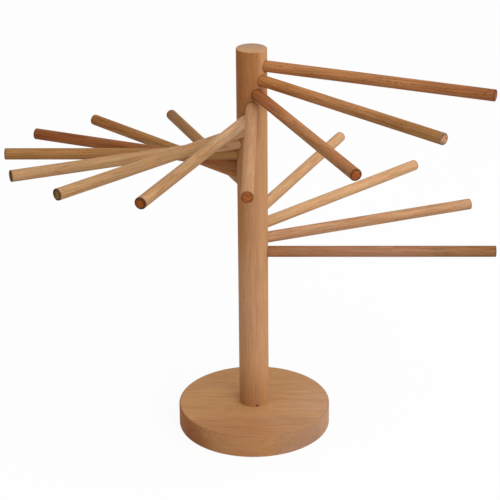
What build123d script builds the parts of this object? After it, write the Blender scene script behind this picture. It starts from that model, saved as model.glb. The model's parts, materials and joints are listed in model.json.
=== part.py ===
"""A pasta drying rack in beech: dowel arms that wind down a round post on a round base.

The origin is the centre of the base's underside, +Z is up, and -Y faces the viewer.
Seen from above the arms go round clockwise as they go down, one step of a turn each, and
the last one points along +X. Each arm is a push fit in a blind socket of the post and
pulls straight out, so that the rack packs flat. Lengths are in millimetres.
"""

import os

from build123d import *

# Rack
rack_height = 430.0
full_turn = 360.0
quarter_turn = 90.0

# Base disc
base_diameter = 165.0
base_thickness = 25.0
base_top_round = 2.0
base_foot_round = 1.0

# Post, which stands in a shallow seat in the base
post_diameter = 32.0
post_top_round = 1.0
post_foot_chamfer = 0.8
post_seat_depth = 10.0
post_seat_gap = 0.05

# Arms and their blind sockets
arm_count = 16
arm_diameter = 12.0
arm_length = 256.0
arm_grip = 14.0
arm_drop = 13.9
top_arm_below_post_top = 17.5
arm_tip_round = 0.7
arm_root_chamfer = 1.2
socket_radial_gap = 0.05
socket_end_gap = 0.5

# Countersunk wood screw, driven up through the base into the post
screw_length = 45.0
screw_head_diameter = 10.0
screw_head_rim = 0.6
screw_core_diameter = 3.4
screw_thread_diameter = 5.0
screw_thread_pitch = 2.2
screw_threaded_length = 30.0
screw_tip_length = 4.0
screw_hole_gap = 0.3
pilot_end_gap = 2.0
cross_slot_length = 5.2
cross_slot_width = 1.5
cross_slot_depth = 2.4
head_well_diameter = 14.0
head_well_depth = 5.0

# Every cut runs this far past the face that it opens
overrun = 2.0

base_radius = base_diameter / 2
post_radius = post_diameter / 2
arm_radius = arm_diameter / 2
post_foot_height = base_thickness - post_seat_depth
arm_start = post_radius - arm_grip
screw_head_radius = screw_head_diameter / 2
screw_core_radius = screw_core_diameter / 2
screw_thread_radius = screw_thread_diameter / 2
screw_tip_height = head_well_depth + screw_length

STANDING = (Align.CENTER, Align.CENTER, Align.MIN)
HANGING = (Align.CENTER, Align.CENTER, Align.MAX)


def arm_bearing(number):
    """The arm's angle about +Z from +X: clockwise from above, so negative."""
    return -full_turn * number / arm_count


def arm_height(number):
    """The height of the arm's centre line above the floor."""
    return rack_height - top_arm_below_post_top - arm_drop * (number - 1)


def arm_place(number, start):
    """Turns what stands along +Z at the origin into what leaves the post along the arm."""
    axis = Pos(0, 0, arm_height(number)) * Rot(0, 0, arm_bearing(number))
    return axis * Pos(start, 0, 0) * Rot(0, quarter_turn, 0)


def lower_edges(solid):
    return solid.edges().group_by(Axis.Z)[0]


def upper_edges(solid):
    return solid.edges().group_by(Axis.Z)[-1]


def base_disc():
    """The foot: a disc with softened edges, the post's seat above and the screw's way through."""
    disc = Cylinder(base_radius, base_thickness, align=STANDING)
    disc = fillet(upper_edges(disc), base_top_round)
    disc = fillet(lower_edges(disc), base_foot_round)
    seat_radius = post_radius + post_seat_gap
    seat = Cylinder(seat_radius, post_seat_depth + overrun, align=STANDING)
    well = Cylinder(head_well_diameter / 2, head_well_depth + overrun, align=HANGING)
    hole_radius = screw_thread_radius + screw_hole_gap
    hole = Cylinder(hole_radius, base_thickness, align=STANDING)
    cone_height = screw_head_radius - screw_core_radius
    cone = Cone(screw_head_radius, screw_core_radius, cone_height, align=STANDING)
    rim = Cylinder(screw_head_radius, screw_head_rim, align=STANDING)
    disc -= Pos(0, 0, post_foot_height) * seat
    disc -= Pos(0, 0, head_well_depth) * well
    disc -= hole
    disc -= Pos(0, 0, head_well_depth) * rim
    disc -= Pos(0, 0, head_well_depth + screw_head_rim) * cone
    return disc


def socket(number):
    """The blind hole that grips one arm, from its floor to outside the post."""
    radius = arm_radius + socket_radial_gap
    depth = arm_grip + socket_end_gap
    hole = Cylinder(radius, depth + overrun, align=STANDING)
    return arm_place(number, post_radius - depth) * hole


def post():
    """The round post, with one socket for each arm and a pilot hole for the screw."""
    rod = Cylinder(post_radius, rack_height - post_foot_height, align=STANDING)
    rod = fillet(upper_edges(rod), post_top_round)
    rod = chamfer(lower_edges(rod), post_foot_chamfer)
    rod = Pos(0, 0, post_foot_height) * rod
    for number in range(1, arm_count + 1):
        rod -= socket(number)
    pilot_top = screw_tip_height + pilot_end_gap
    pilot = Cylinder(screw_core_radius, pilot_top - post_foot_height + overrun, align=HANGING)
    rod -= Pos(0, 0, pilot_top) * pilot
    return rod


def arm(number):
    """One dowel: a softened tip, and a chamfer that leads its root into the socket."""
    rod = Cylinder(arm_radius, arm_length, align=STANDING)
    rod = fillet(upper_edges(rod), arm_tip_round)
    rod = chamfer(lower_edges(rod), arm_root_chamfer)
    return arm_place(number, arm_start) * rod


def thread_outline():
    """Half of the screw's section, from the axis at its head round to its tip."""
    head_top = screw_head_rim
    neck = head_top + screw_head_radius - screw_core_radius
    thread_end = screw_length - screw_tip_length
    thread_start = thread_end - screw_threaded_length
    turns = int(screw_threaded_length / screw_thread_pitch)
    points = [(0, 0), (screw_head_radius, 0), (screw_head_radius, head_top), (screw_core_radius, neck)]
    for turn in range(turns):
        foot = thread_start + turn * screw_thread_pitch
        points.append((screw_core_radius, foot))
        points.append((screw_thread_radius, foot + screw_thread_pitch / 2))
    points.append((screw_core_radius, thread_start + turns * screw_thread_pitch))
    points.append((screw_core_radius, thread_end))
    points.append((0, screw_length))
    return points


def post_screw():
    """A countersunk wood screw with ridges for its thread and a cross slot in its head."""
    outline = [(radius, 0, height) for radius, height in thread_outline()]
    section = make_face(Polyline(outline, close=True))
    screw = revolve(section, Axis.Z)
    slot = Box(cross_slot_length, cross_slot_width, cross_slot_depth + overrun, align=STANDING)
    for turn in (0, quarter_turn):
        screw -= Pos(0, 0, -overrun) * Rot(0, 0, turn) * slot
    return Pos(0, 0, head_well_depth) * screw


def write(name, solid):
    solid.label = name
    export_step(solid, f"parts/{name}.step")


os.makedirs("parts", exist_ok=True)
write("base_disc", base_disc())
write("post", post())
write("post_screw", post_screw())
for number in range(1, arm_count + 1):
    write(f"arm_{number:02d}", arm(number))
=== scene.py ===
"""The looks of a beech pasta drying rack, dressed on its packed frame.

Sixteen turned dowel arms are new surfaces that stand for the frame's plain ones. The post,
the base and the screw keep the frame's shape and get their real finish. Lengths are in
metres, in the frame's own axes: +Z up, -Y towards the viewer.
"""

import json
import math

import bpy
import numpy as np
from bpy.props import FloatProperty, FloatVectorProperty, IntProperty, PointerProperty
from mathutils import Matrix, Vector


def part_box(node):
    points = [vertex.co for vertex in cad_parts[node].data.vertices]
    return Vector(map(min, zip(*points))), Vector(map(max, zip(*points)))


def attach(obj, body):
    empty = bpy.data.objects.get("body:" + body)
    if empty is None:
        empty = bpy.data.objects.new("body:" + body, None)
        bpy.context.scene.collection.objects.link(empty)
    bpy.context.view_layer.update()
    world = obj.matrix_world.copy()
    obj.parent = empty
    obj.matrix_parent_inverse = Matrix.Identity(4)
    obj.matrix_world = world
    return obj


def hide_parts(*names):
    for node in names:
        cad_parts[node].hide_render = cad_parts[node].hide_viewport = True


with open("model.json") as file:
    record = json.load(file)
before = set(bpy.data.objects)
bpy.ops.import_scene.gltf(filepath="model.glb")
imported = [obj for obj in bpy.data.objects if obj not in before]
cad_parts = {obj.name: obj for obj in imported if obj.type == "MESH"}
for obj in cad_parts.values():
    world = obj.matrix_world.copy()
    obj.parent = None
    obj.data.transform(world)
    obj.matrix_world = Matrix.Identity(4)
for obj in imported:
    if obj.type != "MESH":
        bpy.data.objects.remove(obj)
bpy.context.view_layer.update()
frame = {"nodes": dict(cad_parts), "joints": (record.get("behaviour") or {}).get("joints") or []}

bl_info = {
    "name": "Pasta Drying Rack",
    "version": (1, 0, 0),
    "blender": (4, 5, 0),
    "location": "View3D > Sidebar > Pasta Rack",
    "description": "Dresses a beech pasta drying rack and sets it in a plain studio",
    "category": "Add Mesh",
}

MM = 0.001
UP = (0.0, 0.0, 1.0)
WHITE = (1.0, 1.0, 1.0, 1.0)

# Sizes and places that the frame gives. The lowest arm points along +X
BASE_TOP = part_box("base_disc")[1].z
POST_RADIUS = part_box("post")[1].x
POST_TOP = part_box("post")[1].z
LOWEST_ARM_LOW, LOWEST_ARM_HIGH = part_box("arm_16")
ARM_RADIUS = (LOWEST_ARM_HIGH.z - LOWEST_ARM_LOW.z) / 2
ARM_START = LOWEST_ARM_LOW.x
ARM_TIP = LOWEST_ARM_HIGH.x

# Where each piece's origin lay in the log, counted from the pith, and about how far out its wood is
BOARD_IN_LOG = (0.0, 20 * MM, 85 * MM)
BOARD_FROM_PITH = 95 * MM
POST_IN_LOG = (0.0, 55 * MM, 30 * MM)
POST_FROM_PITH = 62 * MM
DOWEL_FROM_PITH = 45 * MM
# How long the dowels' log was, and how far its fibre strays sideways in a metre of a dowel at most
LOG_LENGTH = 3.0
MOST_RUNOUT = 0.03

# Each arm draws its own numbers, from these seeds on: for its side, its grain and its tip
SIDE_SEED = 1
GRAIN_SEED = 100
TIP_SEED = 200

# Dowel stock: a tone, and how strongly its grain shows
STOCK = {
    "dark heart": ("#86491f", 1.5),
    "russet": ("#a45f33", 1.1),
    "red heart": ("#a66e40", 1.2),
    "ginger": ("#b17848", 1.2),
    "copper": ("#ab7143", 1.2),
    "red brown": ("#975f34", 1.3),
    "chestnut": ("#8f552b", 1.4),
    "olive": ("#af733e", 1.2),
    "rose": ("#9f6d49", 1.0),
    "ash rose": ("#a67657", 0.9),
    "nut": ("#98622c", 1.3),
    "smoky": ("#93663c", 1.3),
    "brown": ("#a0703f", 1.1),
    "tan": ("#b2875c", 0.9),
    "pink": ("#bb8c65", 1.1),
    "plain": ("#bc8b61", 0.55),
    # Blush is paler partly as painted light, for the shaded root of arm 5
    "blush": ("#deb48c", 1.0),
    "pale": ("#cb9d70", 0.8),
}
# How a tip was cut: the tone in the middle of its end, and at the rim
CUTS = {
    "clean": ("#b98b69", "#806553"),
    "orange": ("#9a5a30", "#8f5533"),
    "warm": ("#9b5731", "#6e4227"),
    "reddish": ("#a25f38", "#6b3f2a"),
    "scorched": ("#935322", "#503321"),
    "weathered": ("#8a653c", "#4f3b26"),
    "dirty": ("#6a4a2c", "#573a1f"),
    "soft": ("#b08a6c", "#8a6c52"),
}
# The sawn end in the socket has stayed clean and pale
ROOT_END = "#b58d69"
# The arms from the top one down: stock at the post, half way and at the tip, and the tip's cut
ARMS = (
    ("ginger", "copper", "red brown", "reddish"),
    ("olive", "ginger", "brown", "clean"),
    ("russet", "ginger", "red heart", "warm"),
    ("plain", "plain", "plain", "orange"),
    # Arm 5's blush and arm 7's pink at the post are paler partly as painted light, lifting the shade near
    # their roots
    ("blush", "tan", "tan", "scorched"),
    ("tan", "tan", "tan", "weathered"),
    ("pink", "tan", "tan", "dirty"),
    ("brown", "brown", "brown", "dirty"),
    ("red brown", "chestnut", "dark heart", "dirty"),
    ("olive", "brown", "nut", "weathered"),
    ("tan", "brown", "smoky", "weathered"),
    ("tan", "tan", "tan", "orange"),
    ("pale", "pale", "pale", "soft"),
    ("pale", "pale", "pale", "soft"),
    ("pink", "pink", "pink", "soft"),
    ("rose", "ash rose", "smoky", "reddish"),
)


def linear(hex_colour):
    """The linear RGBA of an sRGB colour such as #c09068."""
    parts = [int(hex_colour[i : i + 2], 16) / 255 for i in (1, 3, 5)]
    return (*(c / 12.92 if c <= 0.04045 else ((c + 0.055) / 1.055) ** 2.4 for c in parts), 1.0)


# Settings that all the colour properties have, and those of a share from nothing to all
COLOUR = {"size": 4, "subtype": "COLOR", "min": 0, "max": 1}
SHARE = {"subtype": "FACTOR", "min": 0, "max": 1}


class RACK_PG_beech(bpy.types.PropertyGroup):
    """Steamed beech, sanded and left bare."""

    base_tone: FloatVectorProperty(
        name="Base tone", description="Colour of the base board", default=linear("#c28f5d"), **COLOUR,
    )
    base_warm_tone: FloatVectorProperty(
        name="Base warm tone", description="Colour of its warmer patch at the front",
        default=linear("#af794d"), **COLOUR,
    )
    base_pale_tone: FloatVectorProperty(
        name="Base pale tone", description="Colour of its paler right end",
        default=linear("#c79a78"), **COLOUR,
    )
    base_grey_tone: FloatVectorProperty(
        name="Base grey tone", description="Colour of its greyer patch right of the warm one",
        default=linear("#ba8a66"), **COLOUR,
    )
    # Painted light: a lighter patch behind the post on its left, lifting the post's shadow there
    base_shadow_lift_tone: FloatVectorProperty(
        name="Base light tone", description="Colour of its lighter patch, behind the post on its left",
        default=linear("#d9a56d"), **COLOUR,
    )
    base_figure: FloatProperty(
        name="Base figure", description="How strongly the board's grain shows", default=0.48, min=0,
    )
    post_tone: FloatVectorProperty(
        name="Post tone", description="Colour of the post's lower part",
        default=linear("#c08e66"), **COLOUR,
    )
    post_top_tone: FloatVectorProperty(
        name="Post top tone", description="Colour of the post's darker top",
        default=linear("#a66f40"), **COLOUR,
    )
    post_stripe_tone: FloatVectorProperty(
        name="Post stripe tone", description="Colour of the golden stripe on its right",
        default=linear("#cb9563"), **COLOUR,
    )
    post_end_tone: FloatVectorProperty(
        name="Post end tone", description="Colour of the post's sawn top at its front",
        default=linear("#bf9264"), **COLOUR,
    )
    post_end_back_tone: FloatVectorProperty(
        name="Post end back tone", description="Colour of the post's sawn top at its back",
        default=linear("#ab8870"), **COLOUR,
    )
    post_figure: FloatProperty(
        name="Post figure", description="How strongly the post's grain shows", default=0.5, min=0,
    )
    ring_width: FloatProperty(
        name="Ring width", description="One year's growth", unit="LENGTH", default=2.8 * MM, min=0.5 * MM,
    )
    ring_contrast: FloatProperty(
        name="Ring contrast", description="How much darker a ring's late wood is", default=0.16, **SHARE,
    )
    fibre_contrast: FloatProperty(
        name="Fibre contrast", description="How much the fibre streaks vary", default=0.34, **SHARE,
    )
    band_contrast: FloatProperty(
        name="Band contrast", description="How much the broad bands vary", default=0.16, **SHARE,
    )
    fleck_contrast: FloatProperty(
        name="Fleck contrast", description="How dark the ray flecks are", default=0.25, **SHARE,
    )
    pore_contrast: FloatProperty(
        name="Pore contrast", description="How dark the pores are", default=0.08, **SHARE,
    )
    hue_contrast: FloatProperty(
        name="Hue contrast", description="How far redder and yellower fibres differ",
        default=1.3, min=0, max=3,
    )
    relief: FloatProperty(
        name="Relief", description="Depth of the raised grain", unit="LENGTH", default=0.05 * MM, min=0,
    )
    side_gloss: FloatProperty(
        name="Side gloss", description="How much gloss the sanding has left", default=0.22, **SHARE,
    )
    end_gloss: FloatProperty(
        name="End gloss", description="How much gloss a sawn end has", default=0.02, **SHARE,
    )


class RACK_PG_dowel(bpy.types.PropertyGroup):
    """How the dowel arms are shaped and worn."""

    around: IntProperty(name="Steps around", description="Faces round a dowel", default=64, min=12)
    along: IntProperty(name="Steps along", description="Faces along a dowel's side", default=64, min=10)
    end_rings: IntProperty(name="End rings", description="Rings of faces on an end", default=10, min=2)
    edge_steps: IntProperty(name="Edge steps", description="Faces over the tip's edge", default=6, min=2)
    tip_round: FloatProperty(
        name="Tip round", description="How far the tip's edge is sanded off",
        unit="LENGTH", default=0.7 * MM,
    )
    root_chamfer: FloatProperty(
        name="Root chamfer", description="Lead-in at the end in the socket",
        unit="LENGTH", default=1.2 * MM,
    )
    unevenness: FloatProperty(
        name="Unevenness", description="How far the planed side wanders", unit="LENGTH", default=0.04 * MM,
    )


class RACK_PG_studio(bpy.types.PropertyGroup):
    """The camera of the photograph and a plain soft light."""

    camera_away: FloatProperty(
        name="Away", description="From the post's axis, on the floor", unit="LENGTH", default=1.838,
    )
    camera_height: FloatProperty(
        name="Height", description="Above the floor", unit="LENGTH", default=1.0134,
    )
    camera_bearing: FloatProperty(
        name="Bearing", description="How far round to the right the camera stands",
        subtype="ANGLE", default=math.radians(1.083),
    )
    camera_dip: FloatProperty(
        name="Dip", description="How far down it looks", subtype="ANGLE", default=math.radians(23.725),
    )
    camera_pan: FloatProperty(
        name="Pan", description="How far left of the axis it looks",
        subtype="ANGLE", default=math.radians(0.100),
    )
    camera_roll: FloatProperty(
        name="Roll", description="How far it leans", subtype="ANGLE", default=math.radians(-0.495),
    )
    lens: FloatProperty(name="Lens", description="Focal length in mm", unit="CAMERA", default=135.86)
    sensor: FloatProperty(
        name="Sensor", description="Width of the camera's sensor in mm", unit="CAMERA", default=36.0,
    )
    sky: FloatProperty(name="Sky", description="Strength of the soft light all round", default=0.54)
    sky_lean: FloatProperty(
        name="Sky lean", description="How much brighter its bright side is", default=0.65, **SHARE,
    )
    bright_side: FloatVectorProperty(
        name="Bright side", description="Where it is brightest: right, towards the viewer and above",
        subtype="DIRECTION", default=(0.72, -0.60, 0.55),
    )
    backdrop: FloatProperty(
        name="Backdrop", description="How white the camera sees the light all round",
        default=0.98, **SHARE,
    )
    key: FloatProperty(name="Key", description="The soft light at the right", unit="POWER", default=30)
    key_size: FloatProperty(name="Key size", description="Its width", unit="LENGTH", default=2.4)
    key_place: FloatVectorProperty(
        name="Key place", description="Where it hangs", subtype="TRANSLATION", default=(1.7, -2.0, 1.6),
    )
    overhead: FloatProperty(name="Overhead", description="The light above", unit="POWER", default=9)
    overhead_size: FloatProperty(name="Overhead size", description="Its width", unit="LENGTH", default=1.8)
    overhead_place: FloatVectorProperty(
        name="Overhead place", description="Where it hangs", subtype="TRANSLATION",
        default=(0.3, -0.3, 2.2),
    )
    floor_tone: FloatVectorProperty(
        name="Floor", description="Colour of the floor in the light it sends back to the rack",
        default=linear("#cbcac8"), **COLOUR,
    )
    floor_glow: FloatProperty(
        name="Floor glow", description="How much of the seen floor is even white, without shadow",
        default=0.92, **SHARE,
    )
    floor_width: FloatProperty(
        name="Floor width", description="Side of the square floor", unit="LENGTH", default=12,
    )


def turned_surface(name, radii, heights, around, relief):
    """A closed solid of revolution about +X as a mesh.

    A point is (heights[i], radii[i] * cos(v), radii[i] * sin(v)), for i along the outline and
    v round the axis. The first and last radius are zero, and each is one point, the pole.
    relief(height, v) is taken off the radius, up to half of it.
    """
    turn = np.linspace(0, 2 * math.pi, around, endpoint=False)
    rows = len(radii) - 2
    x, v = np.meshgrid(heights[1:-1], turn, indexing="ij")
    r = np.repeat(radii[1:-1, None], around, axis=1)
    r = r - np.minimum(relief(x, v), r / 2)
    rings = np.stack([x, r * np.cos(v), r * np.sin(v)], axis=-1).reshape(-1, 3)
    poles = np.array([[heights[0], 0, 0], [heights[-1], 0, 0]])
    points = np.concatenate([rings, poles])
    i, j = np.meshgrid(np.arange(rows - 1), np.arange(around), indexing="ij")
    k = (j + 1) % around
    here, beyond = i * around, (i + 1) * around
    quads = np.stack([here + j, here + k, beyond + k, beyond + j], axis=-1).reshape(-1, 4)
    j, k = j[0], k[0]
    near_pole, far_pole = len(rings), len(rings) + 1
    last_row = (rows - 1) * around
    near = np.stack([np.full(around, near_pole), k, j], axis=-1)
    far = np.stack([np.full(around, far_pole), last_row + j, last_row + k], axis=-1)
    mesh = bpy.data.meshes.new(name)
    mesh.from_pydata(points.tolist(), [], quads.tolist() + near.tolist() + far.tolist())
    mesh.validate()
    mesh.shade_smooth()
    return mesh, points


def dowel_outline(shape):
    """A dowel's radii and heights along its axis, from root pole to tip pole.

    The root has a straight chamfer. The tip's edge is a quarter circle. Both end faces and the
    side are divided so that the patterns and the unevenness have points to follow, and the side
    has rings a tip_round apart before the tip's edge, where the tone of the sawn end fades out.
    """
    disc = np.linspace(0, 1, shape.end_rings + 1)[1:]
    root_radius = ARM_RADIUS - shape.root_chamfer
    tip_radius = ARM_RADIUS - shape.tip_round
    bend = np.linspace(0, math.pi / 2, shape.edge_steps + 1)[1:]
    before_edge = ARM_TIP - shape.tip_round * np.array([4, 3, 2, 1])
    side = np.linspace(ARM_START + shape.root_chamfer, before_edge[0], shape.along + 1)
    side = np.concatenate([side, before_edge[1:]])
    edge_radii = tip_radius + shape.tip_round * np.cos(bend)
    edge_heights = ARM_TIP - shape.tip_round + shape.tip_round * np.sin(bend)
    tip_radii = tip_radius * disc[::-1][1:]
    radii = [[0.0], root_radius * disc, np.full(len(side), ARM_RADIUS), edge_radii, tip_radii, [0.0]]
    heights = [
        np.full(1 + len(disc), ARM_START), side, edge_heights, np.full(len(tip_radii) + 1, ARM_TIP),
    ]
    return np.concatenate(radii), np.concatenate(heights)


def planed_side(seed, depth):
    """How far a dowel's side lies below a true round, between nothing and depth.

    It is depth / 2 * (1 + the sum of share * cos(lobes * v + pace * x + start)) over eight slow
    waves, each at least 80 mm long, with 2 to 8 lobes round the dowel and shares that sum to one.
    """
    waves, shortest = 8, 80 * MM
    draw = np.random.default_rng(seed)
    lobes = draw.integers(2, 9, waves)
    pace = draw.uniform(-1, 1, waves) * 2 * math.pi / shortest
    start = draw.uniform(0, 2 * math.pi, waves)
    share = draw.uniform(0.3, 1, waves)
    share = share / share.sum()

    def relief(x, v):
        wave = np.cos(lobes[:, None, None] * v + pace[:, None, None] * x + start[:, None, None])
        return depth / 2 * (1 + np.tensordot(share, wave, axes=1))

    return relief


def ease(value, start, end):
    """0 up to start and 1 from end on, with a soft start and end: s * s * (3 - 2 * s)."""
    share = np.clip((value - start) / (end - start), 0, 1)
    return share**2 * (3 - 2 * share)


def faded(first, second, share):
    """Goes from the first tones to the second by each point's share."""
    return first + (second - first) * share[:, None]


# Settings of a Map Range node that eases in and out
SOFT = {"interpolation_type": "SMOOTHSTEP"}


def add_node(tree, kind, inputs=(), **settings):
    """Adds a node with its settings and links, and returns it.

    inputs are for its sockets in use, in their order, or a dict by name. Each is a value, an
    output, or a node, which stands for its first output in use.
    """
    node = tree.nodes.new(kind if kind.startswith("Node") else f"ShaderNode{kind}")
    for name, value in settings.items():
        setattr(node, name, value)
    if not isinstance(inputs, dict):
        inputs = dict(zip((socket for socket in node.inputs if socket.enabled), inputs))
    for socket, value in inputs.items():
        if isinstance(socket, str):
            socket = node.inputs[socket]
        if isinstance(value, bpy.types.Node):
            value = next(output for output in value.outputs if output.enabled)
        if isinstance(value, bpy.types.NodeSocket):
            tree.links.new(value, socket)
        else:
            socket.default_value = value
    return node


def empty_tree(owner):
    """The node tree of a new material or world, with nothing in it yet."""
    owner.use_nodes = True
    owner.node_tree.nodes.clear()
    return owner.node_tree


def layered(tree, tone, layers):
    """Lays tones over the first, one after another, each mixed in or multiplied by its share."""
    for how, share, colour in layers:
        tone = add_node(tree, "Mix", [share, tone, colour], data_type="RGBA", blend_type=how)
    return tone


def facing(tree, axis, low, high):
    """How squarely a face looks along an axis: 0 where their dot product is low, easing to 1 at high."""
    normal = add_node(tree, "NewGeometry").outputs["Normal"]
    lean = add_node(tree, "VectorMath", [normal, axis], operation="DOT_PRODUCT")
    return add_node(tree, "MapRange", [lean, low, high], **SOFT)


def zone(tree, spans, most=1.0):
    """How far inside a soft-edged zone a point lies, from 0 outside it to most within.

    spans gives for each axis that bounds the zone where it begins and where it is full.
    """
    here = add_node(tree, "TexCoord").outputs["Object"]
    places = add_node(tree, "SeparateXYZ", [here]).outputs
    share = most
    for axis, (begins, full) in spans.items():
        inside = add_node(tree, "MapRange", [places[axis], begins, full], **SOFT)
        share = add_node(tree, "Math", [inside, share], operation="MULTIPLY")
    return share


def solid_beech():
    """Beech as it is through its whole thickness, so that any cut through it shows true grain.

    Place is a point of the wood in metres, with X along the fibre and the pith on the X axis.
    Pith is how far the piece lies from the pith. Figure is how strongly the grain shows.
    Shade multiplies a tone and averages one. Height is the raised grain from 0 to 1.
    """
    look = bpy.context.scene.rack_beech
    tree = bpy.data.node_groups.new("solid beech", "ShaderNodeTree")
    for name, way, kind in (
        ("Place", "INPUT", "Vector"), ("Pith", "INPUT", "Float"), ("Figure", "INPUT", "Float"),
        ("Shade", "OUTPUT", "Color"), ("Height", "OUTPUT", "Float"),
    ):
        tree.interface.new_socket(name, in_out=way, socket_type=f"NodeSocket{kind}")
    given = add_node(tree, "NodeGroupInput").outputs

    # The same point counted along the fibre, out from the pith, and round the pith
    x, y, z = add_node(tree, "SeparateXYZ", [given["Place"]]).outputs
    across = add_node(tree, "CombineXYZ", [0.0, y, z])
    out = add_node(tree, "VectorMath", [across], operation="LENGTH")
    bearing = add_node(tree, "Math", [y, z], operation="ARCTAN2")
    around = add_node(tree, "Math", [bearing, given["Pith"]], operation="MULTIPLY")
    round_pith = add_node(tree, "CombineXYZ", [x, out, around])

    def grain(along, deep, wide, shift, detail=2.0, rough=0.55, stretch=None):
        """Noise whose patches are that long, deep and wide in the wood, in mm.

        shift takes another part of the noise for each pattern. stretch is the range of it that
        is drawn out to 0 to 1, which makes the pattern clearer.
        """
        pace = [1 / (size * MM) for size in (along, deep, wide)]
        place = add_node(tree, "VectorMath", [round_pith, pace, [shift] * 3], operation="MULTIPLY_ADD")
        noise = add_node(tree, "TexNoise", {
            "Vector": place, "Scale": 1.0, "Detail": detail, "Roughness": rough,
        })
        return add_node(tree, "MapRange", [noise, *stretch], **SOFT) if stretch else noise

    # Growth rings wander by up to three widths. The late wood of each year is a thin darker line,
    # which builds up from mid-year and ends sharply with it
    most_wander, mid_year, dark_from, dark_until, year_end = 3.0, 0.45, 0.92, 0.94, 1.0
    wander = grain(90, 30, 30, shift=3.1)
    years = add_node(tree, "Math", [out, look.ring_width], operation="DIVIDE")
    years = add_node(tree, "Math", [wander, most_wander, years], operation="MULTIPLY_ADD")
    season = add_node(tree, "Math", [years], operation="FRACT")
    building_up = add_node(tree, "MapRange", [season, mid_year, dark_from], **SOFT)
    fading_out = add_node(tree, "MapRange", [season, year_end, dark_until], **SOFT)
    late = add_node(tree, "Math", [building_up, fading_out], operation="MULTIPLY")
    # Broad bands of paler and redder wood, about 7 mm wide and a hand long
    bands = grain(120, 7, 9, shift=7.7, stretch=(0.32, 0.68))
    # Fibre streaks, drawn four times as coarse as the real 0.3 mm so that they show
    fibre = grain(34, 1.3, 1.4, shift=0.0, detail=3.0, rough=0.68, stretch=(0.32, 0.68))
    # Ray flecks: real ones are 2 by 0.2 mm on a tangential face, drawn up to three times as large
    flecks = grain(3.2, 4.5, 0.6, shift=1.3, detail=1.0, rough=0.4, stretch=(0.62, 0.72))
    # Pores: short dark hairlines, drawn 0.5 mm wide where real ones are under 0.1 mm
    pores = grain(8, 0.5, 0.5, shift=5.2, stretch=(0.58, 0.72))
    # Redder and yellower fibres beside each other
    hue = grain(38, 1.8, 2.2, shift=9.4)

    # Each pattern, its average and how much it darkens. Darkness is counted from the average, so
    # that the tone stays as it is set
    patterns = (
        (late, 0.22, look.ring_contrast),
        (fibre, 0.5, look.fibre_contrast),
        (bands, 0.5, look.band_contrast),
        (flecks, 0.05, look.fleck_contrast),
        (pores, 0.1, look.pore_contrast),
    )
    dark = -sum(average * contrast for _, average, contrast in patterns)
    for pattern, _, contrast in patterns:
        dark = add_node(tree, "Math", [pattern, contrast, dark], operation="MULTIPLY_ADD")
    red = add_node(tree, "Math", [hue, look.hue_contrast, -look.hue_contrast / 2], operation="MULTIPLY_ADD")
    # Dark wood loses more blue than red, so it is the more saturated. Red wood gains a little red
    darkening, reddening = (-0.80, -1.05, -1.35), (0.28, -0.12, -0.20)
    shade = (1.0, 1.0, 1.0)
    for pattern, change in ((dark, darkening), (red, reddening)):
        amount = add_node(tree, "Math", [pattern, given["Figure"]], operation="MULTIPLY")
        shade = add_node(tree, "VectorMath", [amount, change, shade], operation="MULTIPLY_ADD")
    # Early fibres, pores and flecks have been sanded lower
    height = 1.0
    for pattern, depth in ((fibre, 0.5), (pores, 0.4), (flecks, 0.1)):
        height = add_node(tree, "Math", [pattern, -depth, height], operation="MULTIPLY_ADD")
    add_node(tree, "NodeGroupOutput", {"Shade": shade, "Height": height})
    return tree


def beech_material(name, wood, pith, gloss):
    """A beech finish: its tone times the wood's own shade, with raised grain under a matt sanding.

    wood makes the place in the log, the figure and the tone in the new tree. pith is the
    distance from the pith. gloss is how much of a bare surface's reflection is left.
    """
    material = bpy.data.materials.new(name)
    tree = empty_tree(material)
    place, figure, tone = wood(tree)
    solid = bpy.data.node_groups.get("solid beech") or solid_beech()
    inputs = {"Place": place, "Pith": pith, "Figure": figure}
    shade, height = add_node(tree, "Group", inputs, node_tree=solid).outputs
    colour = layered(tree, tone, [("MULTIPLY", 1.0, shade)])
    # Sanded to about 180 grit and left bare, so it is rough all over, most so where it lies low
    rough_where_low, rough_where_high = 0.75, 0.62
    rough = add_node(tree, "MapRange", [height, 0.0, 1.0, rough_where_low, rough_where_high])
    relief = bpy.context.scene.rack_beech.relief
    bump = add_node(tree, "Bump", {"Strength": 1.0, "Distance": relief, "Height": height})
    shader = add_node(tree, "BsdfPrincipled", {
        "Base Color": colour, "Roughness": rough, "IOR": 1.5, "Specular IOR Level": gloss, "Normal": bump,
    })
    add_node(tree, "OutputMaterial", {"Surface": shader})
    return material


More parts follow.
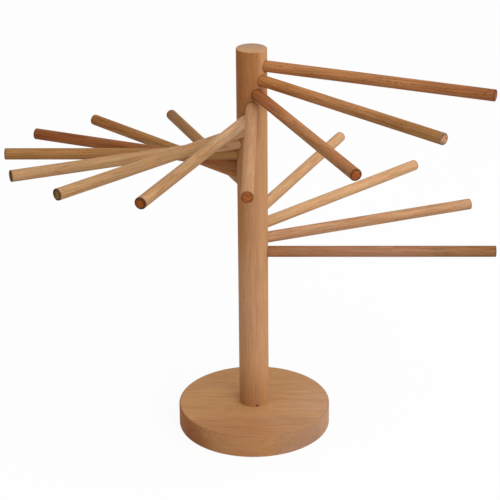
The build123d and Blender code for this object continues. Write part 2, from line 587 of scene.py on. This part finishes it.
def board_wood(tree):
    """The base's wood: a golden board, warmer at its front and paler at its right, with painted shade and
    light on its rounded edge and sides.
    """
    look = bpy.context.scene.rack_beech
    here = add_node(tree, "TexCoord").outputs["Object"]
    place = add_node(tree, "Mapping", {"Vector": here, "Location": BOARD_IN_LOG})
    # A slow noise, in waves of 125 mm by 25 mm, makes the patches' borders wander 30 mm each way
    pace = [1 / (size * MM) for size in (125, 25, 25)]
    stretched = add_node(tree, "VectorMath", [here, pace], operation="MULTIPLY")
    drift = add_node(tree, "TexNoise", {"Vector": stretched, "Scale": 1.0, "Detail": 2.0})
    wander = 30 * MM

    def patch(right, back, near, far, squeeze=(1.0, 1.0, 1.0)):
        """1 within near of a place on the board and 0 beyond far, in mm, with a ragged border.

        squeeze shortens the distance along each axis, which makes the patch longer that way.
        """
        centre = Vector((right, back, 0)) * MM
        away = add_node(tree, "VectorMath", [here, centre], operation="SUBTRACT")
        away = add_node(tree, "VectorMath", [away, squeeze], operation="MULTIPLY")
        away = add_node(tree, "VectorMath", [away], operation="LENGTH")
        away = add_node(tree, "Math", [drift, 2 * wander, away], operation="MULTIPLY_ADD")
        return add_node(tree, "MapRange", [away, far * MM + wander, near * MM + wander], **SOFT)

    # The warm patch is full on the top and weaker on the side, so it darkens the top's front more than the
    # side: partly the board's tone, partly painted shade evening out the light on them
    on_side = 0.72
    on_top = facing(tree, UP, 0.5, 0.95)
    strength = add_node(tree, "Math", [on_top, 1 - on_side, on_side], operation="MULTIPLY_ADD")
    warm = patch(-14, -85, 20, 78, squeeze=(0.7, 1.0, 1.0))
    warm = add_node(tree, "Math", [warm, strength], operation="MULTIPLY")
    # The rounded edge lies between the side and the flat top
    above_side, below_flat = facing(tree, UP, 0.05, 0.5), facing(tree, UP, 0.999, 0.9)
    edge = add_node(tree, "Math", [above_side, below_flat], operation="MULTIPLY")
    to_left, to_right, to_front_right = (-1, 0, 0), (1, -0.3, 0), (0.62, -0.78, 0)
    tone = layered(tree, look.base_tone, [
        ("MIX", patch(90, 0, 10, 80, squeeze=(1.0, 0.7, 1.0)), look.base_pale_tone),
        ("MIX", warm, look.base_warm_tone),
        ("MIX", patch(44, -55, 10, 58), look.base_grey_tone),
        # Painted light: lifts the post's shadow on the top behind it, on the left
        ("MIX", patch(-26, 22, 5, 48), look.base_shadow_lift_tone),
        # The top is a little duller at the front left
        ("MULTIPLY", patch(-56, -52, 2, 32), linear("#eee4d8")),
        # Painted shade and light on the side: darker and redder where it faces left, away from the light,
        # and greyer where it faces right and front right, towards it
        ("MULTIPLY", facing(tree, to_left, 0.47, 1.0), linear("#d0a673")),
        ("MULTIPLY", facing(tree, to_right, 0.35, 0.98), linear("#f6f8fc")),
        ("MULTIPLY", facing(tree, to_front_right, 0.88, 0.97), linear("#f3f4ff")),
        # Painted shade on the rounded edge, which keeps it from catching a highlight
        ("MULTIPLY", edge, linear("#e7e7ea")),
    ])
    return place, look.base_figure, tone


def post_wood(tree):
    """The post's wood: darker heartwood towards its top, with a golden stripe down its right."""
    look = bpy.context.scene.rack_beech
    here = add_node(tree, "TexCoord").outputs["Object"]
    # A quarter turn about Y lays the upright fibre along X
    place = add_node(tree, "Mapping", {
        "Vector": here, "Rotation": (0, math.pi / 2, 0), "Location": POST_IN_LOG,
    })
    among_arms = (POST_TOP - 265 * MM, POST_TOP - 195 * MM)
    top = zone(tree, {"Z": (POST_TOP - 110 * MM, POST_TOP - 40 * MM)})
    down_to_lowest_arms = zone(tree, {"Z": among_arms}, most=0.32)
    right = zone(tree, {"X": (2 * MM, 13 * MM)}, most=0.7)
    stripe = zone(tree, {"X": (5 * MM, 12 * MM)}, most=0.6)
    left = zone(tree, {"X": (-3 * MM, -12 * MM), "Z": among_arms})
    foot = zone(tree, {"X": (24 * MM, 4 * MM), "Z": (BASE_TOP + 60 * MM, BASE_TOP + 2 * MM)})
    foot_left = zone(tree, {"X": (6 * MM, -10 * MM), "Z": (BASE_TOP + 110 * MM, BASE_TOP + 35 * MM)})
    back = zone(tree, {"Y": (-12 * MM, 12 * MM)})
    sawn_end = layered(tree, look.post_end_tone, [("MIX", back, look.post_end_back_tone)])
    tone = layered(tree, look.post_tone, [
        # Heartwood, full at the top and thinner down to the lowest arms, and less of it on the right
        ("MIX", top, look.post_top_tone),
        ("MIX", down_to_lowest_arms, look.post_top_tone),
        ("MIX", right, look.post_tone),
        # A golden stripe down the right side, partly the wood's own tone and partly painted light on the
        # side the light comes from
        ("MIX", stripe, look.post_stripe_tone),
        # Painted shade: darker and redder on the left among the arms' roots, where they shade the post
        ("MULTIPLY", left, linear("#fbeed4")),
        # Painted shade at the foot: darker next to the base and towards the left, away from the light, and
        # warmer higher up on the left
        ("MULTIPLY", foot, linear("#dfd6c4")),
        ("MULTIPLY", foot_left, linear("#fffaea")),
        ("MIX", facing(tree, UP, 0.6, 0.95), sawn_end),
        # Painted shadow: a dark ring round each socket, where an arm enters the post
        ("MULTIPLY", socket_rim_shadows(tree), linear("#8a6a52")),
        ("MIX", foot_dark_spot(tree), linear("#5a3319")),
    ])
    return place, look.post_figure, tone


def foot_dark_spot(tree):
    """Where the small dark spot on the post's foot is, a little right of its front."""
    right, above_base = 3.6 * MM, 1.5 * MM
    darkest_within, gone_beyond = 0.3 * MM, 2.4 * MM
    place = (right, -math.sqrt(POST_RADIUS**2 - right**2), BASE_TOP + above_base)
    here = add_node(tree, "TexCoord").outputs["Object"]
    away = add_node(tree, "VectorMath", [here, place], operation="DISTANCE")
    return add_node(tree, "MapRange", [away, gone_beyond, darkest_within], **SOFT)


def arm_axis(joint):
    """How high an arm's axis lies, and which way round it points."""
    low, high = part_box(joint["child"])
    return (low.z + high.z) / 2, math.atan2(joint["axis"][1], joint["axis"][0])


def socket_rim_shadows(tree):
    """Where the painted shadow ring round each socket is, the dark line where an arm enters the post.

    The arms wind down the post, so the nearest one comes from the height alone: arm number n
    is n pitches below the top one and n steps round. On the post's side, a point's distance from
    that arm's axis is the length of (post radius * sine of the angle between the two, drop).
    """
    rim_width, most = 1.1 * MM, 0.8
    count = len(frame["joints"])
    (top, first_bearing), (next_height, _) = (arm_axis(joint) for joint in frame["joints"][:2])
    pitch = top - next_height
    step = -2 * math.pi / count
    here = add_node(tree, "TexCoord").outputs["Object"]
    x, y, z = add_node(tree, "SeparateXYZ", [here]).outputs
    pitches = add_node(tree, "Math", [z, -1 / pitch, top / pitch], operation="MULTIPLY_ADD")
    number = add_node(tree, "Math", [pitches], operation="ROUND")
    number = add_node(tree, "Clamp", [number, 0.0, count - 1])
    drop = add_node(tree, "Math", [pitches, number], operation="SUBTRACT")
    drop = add_node(tree, "Math", [drop, pitch], operation="MULTIPLY")
    bearing = add_node(tree, "Math", [number, step, first_bearing], operation="MULTIPLY_ADD")
    angle = add_node(tree, "Math", [y, x], operation="ARCTAN2")
    angle = add_node(tree, "Math", [angle, bearing], operation="SUBTRACT")
    aside = add_node(tree, "Math", [angle], operation="SINE")
    aside = add_node(tree, "Math", [aside, POST_RADIUS], operation="MULTIPLY")
    away = add_node(tree, "CombineXYZ", [aside, drop, 0.0])
    away = add_node(tree, "VectorMath", [away], operation="LENGTH")
    rim = add_node(tree, "MapRange", [away, ARM_RADIUS + rim_width, ARM_RADIUS, 0.0, most], **SOFT)
    # Only where the arm comes out, and not on the far side of the post
    ahead = add_node(tree, "Math", [angle], operation="COSINE")
    ahead = add_node(tree, "Math", [ahead, 0.0], operation="GREATER_THAN")
    return add_node(tree, "Math", [rim, ahead], operation="MULTIPLY")


def dowel_wood(tree):
    """A dowel's wood, as its mesh has it: its place in the log, its figure and its tone."""
    place = add_node(tree, "Attribute", attribute_name="grain").outputs["Vector"]
    figure = add_node(tree, "Attribute", attribute_name="figure").outputs["Fac"]
    tone = add_node(tree, "Attribute", attribute_name="tone").outputs["Color"]
    return place, figure, tone


def sawn_wood(tree):
    """A dowel's sawn end, where dirt has soaked in by patches of about 2 mm."""
    place, figure, tone = dowel_wood(tree)
    patches = add_node(tree, "TexNoise", {"Vector": place, "Scale": 1 / (2.2 * MM), "Detail": 2.0})
    clean_up_to, dirty_from = 0.38, 0.62
    soaked = add_node(tree, "MapRange", [patches, clean_up_to, dirty_from], **SOFT)
    clean, dirty = (1.22, 1.22, 1.22, 1.0), (0.76, 0.72, 0.70, 1.0)
    stain = layered(tree, clean, [("MIX", soaked, dirty)])
    return place, figure, layered(tree, tone, [("MULTIPLY", 1.0, stain)])


def seen_directly(tree):
    """1 for what the camera, a reflection or glass sees, and 0 for the light on the rack."""
    rays = add_node(tree, "LightPath").outputs
    seen = rays["Is Camera Ray"]
    for ray in ("Is Glossy Ray", "Is Transmission Ray"):
        seen = add_node(tree, "Math", [seen, rays[ray]], operation="MAXIMUM")
    return seen


class RACK_OT_base(bpy.types.Operator):
    """Finish the base disc: a sanded board with its grain from left to right."""

    bl_idname = "rack.base"
    bl_label = "Base Disc"

    def execute(self, context):
        # Steamed beech, flat sawn and sanded: calm matt gold, with long faint arches and short flecks
        gloss = context.scene.rack_beech.side_gloss
        board = beech_material("steamed beech board", board_wood, BOARD_FROM_PITH, gloss)
        frame["nodes"]["base_disc"].material_slots[0].material = board
        return {"FINISHED"}


class RACK_OT_post(bpy.types.Operator):
    """Finish the post: a sanded round with its grain upright."""

    bl_idname = "rack.post"
    bl_label = "Post"

    def execute(self, context):
        # Steamed beech, turned and sanded: upright hairlines of fibre on a soft, matt roundness
        gloss = context.scene.rack_beech.side_gloss
        post = beech_material("steamed beech post", post_wood, POST_FROM_PITH, gloss)
        frame["nodes"]["post"].material_slots[0].material = post
        return {"FINISHED"}


class RACK_OT_arms(bpy.types.Operator):
    """Turn the dowel arms, each from its own stick, and put them in the arms' places."""

    bl_idname = "rack.arms"
    bl_label = "Dowel Arms"

    def execute(self, context):
        look, shape = context.scene.rack_beech, context.scene.rack_dowel
        radii, heights = dowel_outline(shape)
        # Steamed beech, run through a dowel planer: straight streaks that differ from stick to stick
        planed = beech_material("steamed beech dowel", dowel_wood, DOWEL_FROM_PITH, look.side_gloss)
        # Beech sawn across: open pores that drink dirt and light, so it is darker, blotched and dull
        sawn = beech_material("sawn beech end grain", sawn_wood, DOWEL_FROM_PITH, look.end_gloss)
        for index, joint in enumerate(frame["joints"]):
            node = joint["child"]
            relief = planed_side(SIDE_SEED + index, shape.unevenness)
            mesh, points = turned_surface(f"{node}_dowel", radii, heights, shape.around, relief)
            self.lay_grain(mesh, points, index)
            self.lay_tones(mesh, points, index, shape)
            self.lay_finishes(mesh)
            height, bearing = arm_axis(joint)
            mesh.transform(Matrix.Translation((0, 0, height)) @ Matrix.Rotation(bearing, 4, "Z"))
            piece = bpy.data.objects.new(f"{node}_dowel", mesh)
            context.scene.collection.objects.link(piece)
            mesh.materials.append(planed)
            mesh.materials.append(sawn)
            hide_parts(node)
            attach(piece, node)
        return {"FINISHED"}

    def lay_grain(self, mesh, points, index):
        """Each stick's own place in the log: turned about its length, moved, and a little off straight."""
        draw = np.random.default_rng(GRAIN_SEED + index)
        spin = draw.uniform(0, 2 * math.pi)
        along = draw.uniform(0, LOG_LENGTH)
        runout = draw.uniform(-MOST_RUNOUT, MOST_RUNOUT)
        x, y, z = points.T
        out = y * math.cos(spin) - z * math.sin(spin) + DOWEL_FROM_PITH + runout * x
        up = y * math.sin(spin) + z * math.cos(spin)
        grain = np.stack([x + along, out, up], axis=-1).astype(np.float32)
        mesh.attributes.new("grain", "FLOAT_VECTOR", "POINT").data.foreach_set("vector", grain.ravel())

    def lay_tones(self, mesh, points, index, shape):
        """The stick's tone from post to tip, and the tone of its sawn ends.

        The side goes from one of its stocks to the next along its length. The tip's end goes from
        its middle's tone to its rim's, by the distance from a point a little off the centre, and
        both ends' tones fade out over their edges.
        """
        *stocks, cut = ARMS[index]
        x, y, z = points.T
        tones = np.array([(*linear(STOCK[name][0]), STOCK[name][1]) for name in stocks])
        part = (x - POST_RADIUS) / (ARM_TIP - POST_RADIUS) * (len(stocks) - 1)
        mixed = tones[0]
        for step, stock in enumerate(tones[1:]):
            mixed = faded(mixed, stock, ease(part, step, step + 1))
        tone, figure = mixed[:, :4], mixed[:, 4]

        aside, rim_begins, rim_full = 0.08 * ARM_RADIUS, 0.5 * ARM_RADIUS, 0.86 * ARM_RADIUS
        lean = np.random.default_rng(TIP_SEED + index).uniform(0, 2 * math.pi)
        off = np.hypot(y - aside * math.cos(lean), z - aside * math.sin(lean))
        middle, rim = (np.array(linear(colour)) for colour in CUTS[cut])
        tip_end = faded(middle, rim, ease(off, rim_begins, rim_full))
        tip_begins, tip_full = ARM_TIP - 2.6 * shape.tip_round, ARM_TIP - 0.2 * shape.tip_round
        tone = faded(tone, tip_end, ease(x, tip_begins, tip_full))
        root_begins, root_full = ARM_START + shape.root_chamfer, ARM_START + 0.4 * shape.root_chamfer
        root_end = np.array(linear(ROOT_END))
        tone = faded(tone, root_end, ease(x, root_begins, root_full)).astype(np.float32)
        mesh.attributes.new("tone", "FLOAT_COLOR", "POINT").data.foreach_set("color", tone.ravel())
        figure = figure.astype(np.float32)
        mesh.attributes.new("figure", "FLOAT", "POINT").data.foreach_set("value", figure)

    def lay_finishes(self, mesh):
        """The planed finish on the side and the rounded edges, and the sawn one on both flat ends."""
        centres = np.empty((len(mesh.polygons), 3), np.float32)
        mesh.polygons.foreach_get("center", centres.ravel())
        x, near = centres[:, 0], 0.01 * MM
        flat = np.isclose(x, ARM_START, atol=near) | np.isclose(x, ARM_TIP, atol=near)
        mesh.polygons.foreach_set("material_index", flat.astype(np.int32))


class RACK_OT_screw(bpy.types.Operator):
    """Finish the wood screw under the base in bright zinc."""

    bl_idname = "rack.screw"
    bl_label = "Post Screw"

    def execute(self, context):
        # Zinc-plated steel, tumbled: a bluish white metal, satin and clouded by patches of 1.5 mm
        material = bpy.data.materials.new("zinc-plated steel")
        tree = empty_tree(material)
        here = add_node(tree, "TexCoord").outputs["Object"]
        clouds = add_node(tree, "TexNoise", {"Vector": here, "Scale": 1 / (1.5 * MM), "Detail": 3.0})
        tone = layered(tree, linear("#a9aaa6"), [("MIX", clouds, linear("#c9ccd0"))])
        smoothest, roughest = 0.28, 0.45
        rough = add_node(tree, "MapRange", [clouds, 0.0, 1.0, smoothest, roughest])
        shader = add_node(tree, "BsdfPrincipled", {"Base Color": tone, "Metallic": 1.0, "Roughness": rough})
        add_node(tree, "OutputMaterial", {"Surface": shader})
        frame["nodes"]["post_screw"].material_slots[0].material = material
        return {"FINISHED"}


class RACK_OT_stage(bpy.types.Operator):
    """Set the floor, the lights and the photograph's camera."""

    bl_idname = "rack.stage"
    bl_label = "Studio"

    def execute(self, context):
        studio = context.scene.rack_studio
        self.floor(context, studio)
        self.world(context, studio)
        self.lamp(context, "key", studio.key, studio.key_size, Vector(studio.key_place))
        self.lamp(context, "overhead", studio.overhead, studio.overhead_size, Vector(studio.overhead_place))
        self.camera(context, studio)
        context.scene.view_settings.view_transform = "Standard"
        return {"FINISHED"}

    def floor(self, context, studio):
        """A pale floor. The camera sees it whiter and mostly self-lit, with a light shadow left on it."""
        half = studio.floor_width / 2
        mesh = bpy.data.meshes.new("floor")
        corners = [(-half, -half, 0), (half, -half, 0), (half, half, 0), (-half, half, 0)]
        mesh.from_pydata(corners, [], [(0, 1, 2, 3)])
        # A sweep of matt white paper: no gloss and no pattern, so the eye stays on the rack
        material = bpy.data.materials.new("white paper sweep")
        tree = empty_tree(material)
        seen = seen_directly(tree)
        share = add_node(tree, "Math", [seen, studio.floor_glow], operation="MULTIPLY")
        paper = add_node(tree, "BsdfDiffuse", {
            "Color": layered(tree, studio.floor_tone, [("MIX", seen, WHITE)]),
        })
        glow = add_node(tree, "Emission", {"Color": WHITE, "Strength": 1.0})
        both = add_node(tree, "MixShader", [share, paper, glow])
        add_node(tree, "OutputMaterial", {"Surface": both})
        mesh.materials.append(material)
        sheet = bpy.data.objects.new("floor", mesh)
        context.scene.collection.objects.link(sheet)

    def world(self, context, studio):
        """Soft light all round, brighter from one side. The camera sees it as white."""
        world = bpy.data.worlds.new("studio")
        context.scene.world = world
        tree = empty_tree(world)
        way = add_node(tree, "TexCoord").outputs["Generated"]
        bright_side = Vector(studio.bright_side).normalized()
        lean = add_node(tree, "VectorMath", [way, bright_side], operation="DOT_PRODUCT")
        change = studio.sky * studio.sky_lean
        glow = add_node(tree, "Math", [lean, change, studio.sky], operation="MULTIPLY_ADD")
        light = add_node(tree, "Background", {"Color": WHITE, "Strength": glow})
        white = add_node(tree, "Background", {"Color": WHITE, "Strength": studio.backdrop})
        both = add_node(tree, "MixShader", [seen_directly(tree), light, white])
        add_node(tree, "OutputWorld", {"Surface": both})

    def lamp(self, context, name, power, size, place):
        """A square soft light that looks at the middle of the rack."""
        light = bpy.data.lights.new(name, "AREA")
        light.energy = power
        light.size = size
        lamp = bpy.data.objects.new(name, light)
        lamp.location = place
        middle = Vector((0, 0, POST_TOP / 2))
        lamp.rotation_euler = (middle - place).to_track_quat("-Z", "Y").to_euler()
        context.scene.collection.objects.link(lamp)

    def camera(self, context, studio):
        """The photograph's camera: heading, then dip, then roll about the line of sight."""
        lens = bpy.data.cameras.new("camera")
        lens.lens = studio.lens
        lens.sensor_width = studio.sensor
        lens.sensor_fit = "HORIZONTAL"
        camera = bpy.data.objects.new("camera", lens)
        away, bearing = studio.camera_away, studio.camera_bearing
        place = Vector((away * math.sin(bearing), -away * math.cos(bearing), studio.camera_height))
        heading = Matrix.Rotation(bearing + studio.camera_pan, 4, "Z")
        dip = Matrix.Rotation(math.pi / 2 - studio.camera_dip, 4, "X")
        roll = Matrix.Rotation(studio.camera_roll, 4, "Z")
        camera.matrix_world = Matrix.Translation(place) @ heading @ dip @ roll
        context.scene.collection.objects.link(camera)
        context.scene.camera = camera


class RACK_PT_panel(bpy.types.Panel):
    """The rack's pieces and their settings."""

    bl_idname = "RACK_PT_panel"
    bl_label = "Pasta Rack"
    bl_space_type = "VIEW_3D"
    bl_region_type = "UI"
    bl_category = "Pasta Rack"

    def draw(self, context):
        for operator in OPERATORS:
            self.layout.operator(operator.bl_idname, text=operator.bl_label)
        for group, kind in GROUPS.items():
            box = self.layout.box()
            box.label(text=kind.__doc__)
            for name in kind.__annotations__:
                box.prop(getattr(context.scene, group), name)


GROUPS = {"rack_beech": RACK_PG_beech, "rack_dowel": RACK_PG_dowel, "rack_studio": RACK_PG_studio}
OPERATORS = (RACK_OT_stage, RACK_OT_base, RACK_OT_post, RACK_OT_arms, RACK_OT_screw)


def register():
    """Adds the settings, the operators and the panel."""
    for kind in (*GROUPS.values(), *OPERATORS, RACK_PT_panel):
        bpy.utils.register_class(kind)
    for name, kind in GROUPS.items():
        setattr(bpy.types.Scene, name, PointerProperty(type=kind))


def unregister():
    """Takes them away again."""
    for name in GROUPS:
        delattr(bpy.types.Scene, name)
    for kind in (RACK_PT_panel, *reversed(OPERATORS), *reversed(GROUPS.values())):
        bpy.utils.unregister_class(kind)


def main():
    """Makes the rack and the studio."""
    register()
    bpy.ops.rack.stage()
    bpy.ops.rack.base()
    bpy.ops.rack.post()
    bpy.ops.rack.arms()
    bpy.ops.rack.screw()


if __name__ == "__main__":
    main()
